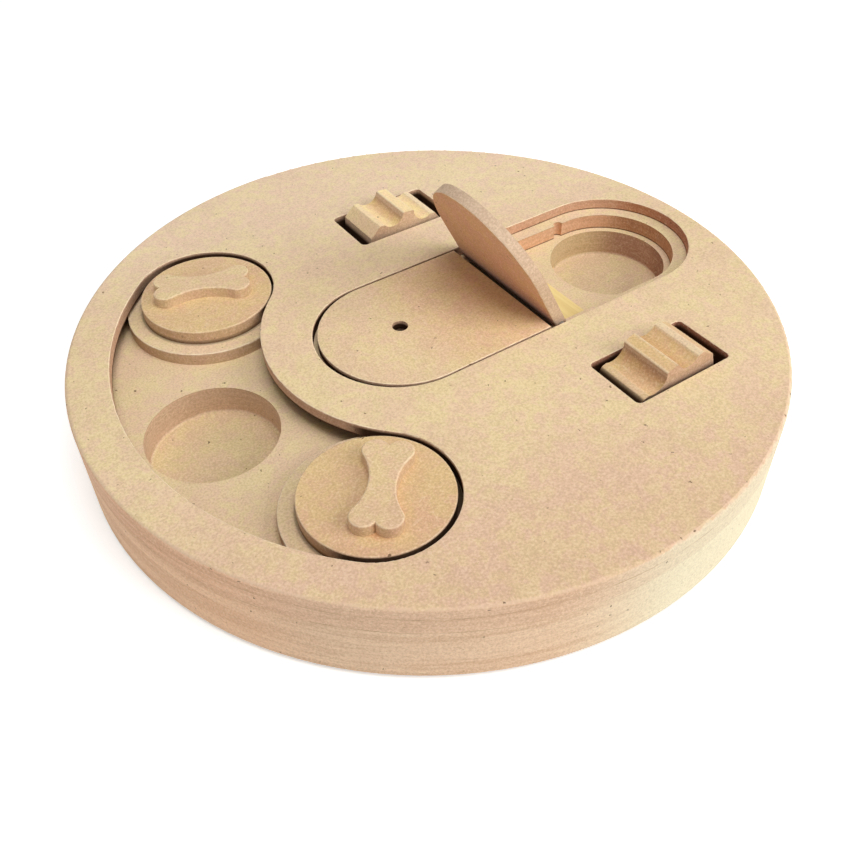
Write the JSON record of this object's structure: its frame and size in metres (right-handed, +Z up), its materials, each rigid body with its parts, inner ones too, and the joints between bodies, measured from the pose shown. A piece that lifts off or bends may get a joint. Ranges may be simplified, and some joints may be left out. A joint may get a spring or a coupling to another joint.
{
  "type": "dog puzzle feeder",
  "caption": "Round wooden treat puzzle for dogs: a layered board with hinged lids, bone sliders in an arc channel and rockers over hidden cups.",
  "frame": {"origin": "centre of the round board on the surface it rests on", "axes": "+Z up; +X along the row of the two lids, away from the arc channel; +Y to the left"},
  "size_m": [0.24, 0.24, 0.0739],
  "materials": {
    "fibreboard": "matte, bare medium density fibreboard",
    "light_wood": "matte, bare light wood",
    "dowel_wood": "matte, bare wood dowel",
    "pin_steel": "satin",
    "pad_rubber": "matte"
  },
  "bodies": {
    "board": {"base_board": "fibreboard", "guide_board": "fibreboard", "top_board": "fibreboard", "lid_wedge": "light_wood", "grip_pads": "pad_rubber", "left_rocker_pin": "dowel_wood", "right_rocker_pin": "dowel_wood"},
    "long_lid": {"long_lid": "fibreboard", "long_lid_pins": "pin_steel"},
    "short_lid": {"short_lid": "fibreboard", "short_lid_pins": "pin_steel"},
    "left_slider": {"left_slider_flange": "fibreboard"},
    "left_knob": {"left_slider_disc": "fibreboard", "left_slider_bone": "fibreboard"},
    "right_slider": {"right_slider_flange": "fibreboard"},
    "right_knob": {"right_slider_disc": "fibreboard", "right_slider_bone": "fibreboard"},
    "left_rocker": {"left_rocker": "fibreboard"},
    "right_rocker": {"right_rocker": "fibreboard"}
  },
  "joints": [
    {"name": "long_lid_hinge", "type": "hinge", "parent": "board", "child": "long_lid", "pos_m": [0.0303, 0, 0.0299], "axis": [0, 1, 0], "range_deg": [0, 62]},
    {"name": "short_lid_hinge", "type": "hinge", "parent": "board", "child": "short_lid", "pos_m": [0.037, 0, 0.0299], "axis": [0, -1, 0], "range_deg": [-117.5, 0]},
    {"name": "left_slider_track", "type": "hinge", "parent": "board", "child": "left_slider", "pos_m": [0, 0, 0.022], "axis": [0, 0, 1], "range_deg": [-0.7, 50]},
    {"name": "left_knob_swivel", "type": "hinge", "parent": "left_slider", "child": "left_knob", "pos_m": [-0.05524, 0.05821, 0.0265], "axis": [0, 0, 1], "continuous": true},
    {"name": "right_slider_track", "type": "hinge", "parent": "board", "child": "right_slider", "pos_m": [0, 0, 0.022], "axis": [0, 0, 1], "range_deg": [-50, 0.6]},
    {"name": "right_knob_swivel", "type": "hinge", "parent": "right_slider", "child": "right_knob", "pos_m": [-0.0566, -0.0578, 0.0265], "axis": [0, 0, 1], "continuous": true},
    {"name": "left_rocker_tilt", "type": "hinge", "parent": "board", "child": "left_rocker", "pos_m": [0.02585, 0.0622, 0.022], "axis": [0, 1, 0], "range_deg": [-24, 12]},
    {"name": "right_rocker_tilt", "type": "hinge", "parent": "board", "child": "right_rocker", "pos_m": [0.04855, -0.0622, 0.022], "axis": [0, 1, 0], "range_deg": [0, 36]}
  ]
}
